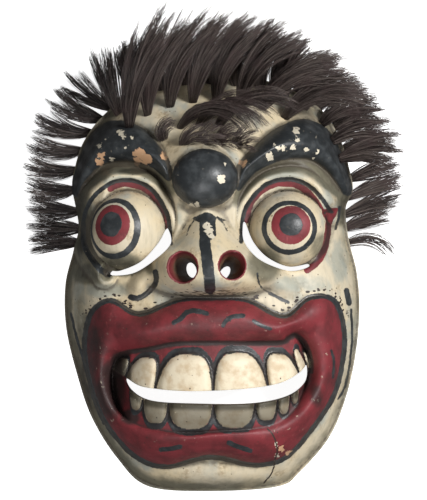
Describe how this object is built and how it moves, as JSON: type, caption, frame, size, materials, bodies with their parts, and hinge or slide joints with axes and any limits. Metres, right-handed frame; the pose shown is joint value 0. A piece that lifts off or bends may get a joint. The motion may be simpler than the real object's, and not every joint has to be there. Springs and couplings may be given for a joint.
{
  "type": "carved wooden theatre mask",
  "caption": "Hollow carved wooden theatre mask with bulging eyes, bared teeth and plugged tufts of dark hair, lying on its flat back rim.",
  "frame": {"origin": "middle of the whole mask's footprint, hair included, in the plane of the flat back rim it lies on", "axes": "+Z out of the face towards the viewer, +Y from the chin towards the hair, +X to the viewer's right"},
  "size_m": [0.1948, 0.2428, 0.0861],
  "materials": {
    "painted_wood": "worn matt paint on carved wood",
    "hair": "dark fibre, slightly glossy"
  },
  "bodies": {
    "root": {"mask": "painted_wood", "hair_left_01": "hair", "hair_left_02": "hair", "hair_left_03": "hair", "hair_left_04": "hair", "hair_left_05": "hair", "hair_left_06": "hair", "hair_left_07": "hair", "hair_left_08": "hair", "hair_left_09": "hair", "hair_top_01": "hair", "hair_top_02": "hair", "hair_top_03": "hair", "hair_top_04": "hair", "hair_top_05": "hair", "hair_top_06": "hair", "hair_top_07": "hair", "hair_top_08": "hair", "hair_top_09": "hair", "hair_top_10": "hair", "hair_top_11": "hair", "hair_right_01": "hair", "hair_right_02": "hair", "hair_right_03": "hair", "hair_right_04": "hair", "hair_wisp_01": "hair", "hair_edge_01": "hair", "hair_edge_02": "hair", "hair_edge_03": "hair", "hair_edge_04": "hair", "hair_edge_05": "hair", "hair_edge_06": "hair", "hair_edge_07": "hair", "hair_edge_08": "hair", "hair_edge_09": "hair", "hair_edge_10": "hair", "hair_edge_11": "hair", "hair_edge_12": "hair", "hair_crown_01": "hair", "hair_crown_02": "hair", "hair_crown_03": "hair", "hair_crown_04": "hair", "hair_crown_05": "hair", "hair_crown_06": "hair", "hair_crown_07": "hair", "hair_crown_08": "hair", "hair_curl_01": "hair", "hair_front_01": "hair", "hair_front_02": "hair", "hair_front_03": "hair", "hair_fringe_01": "hair", "hair_fringe_02": "hair", "hair_fringe_03": "hair", "hair_fringe_04": "hair"}
  },
  "joints": []
}
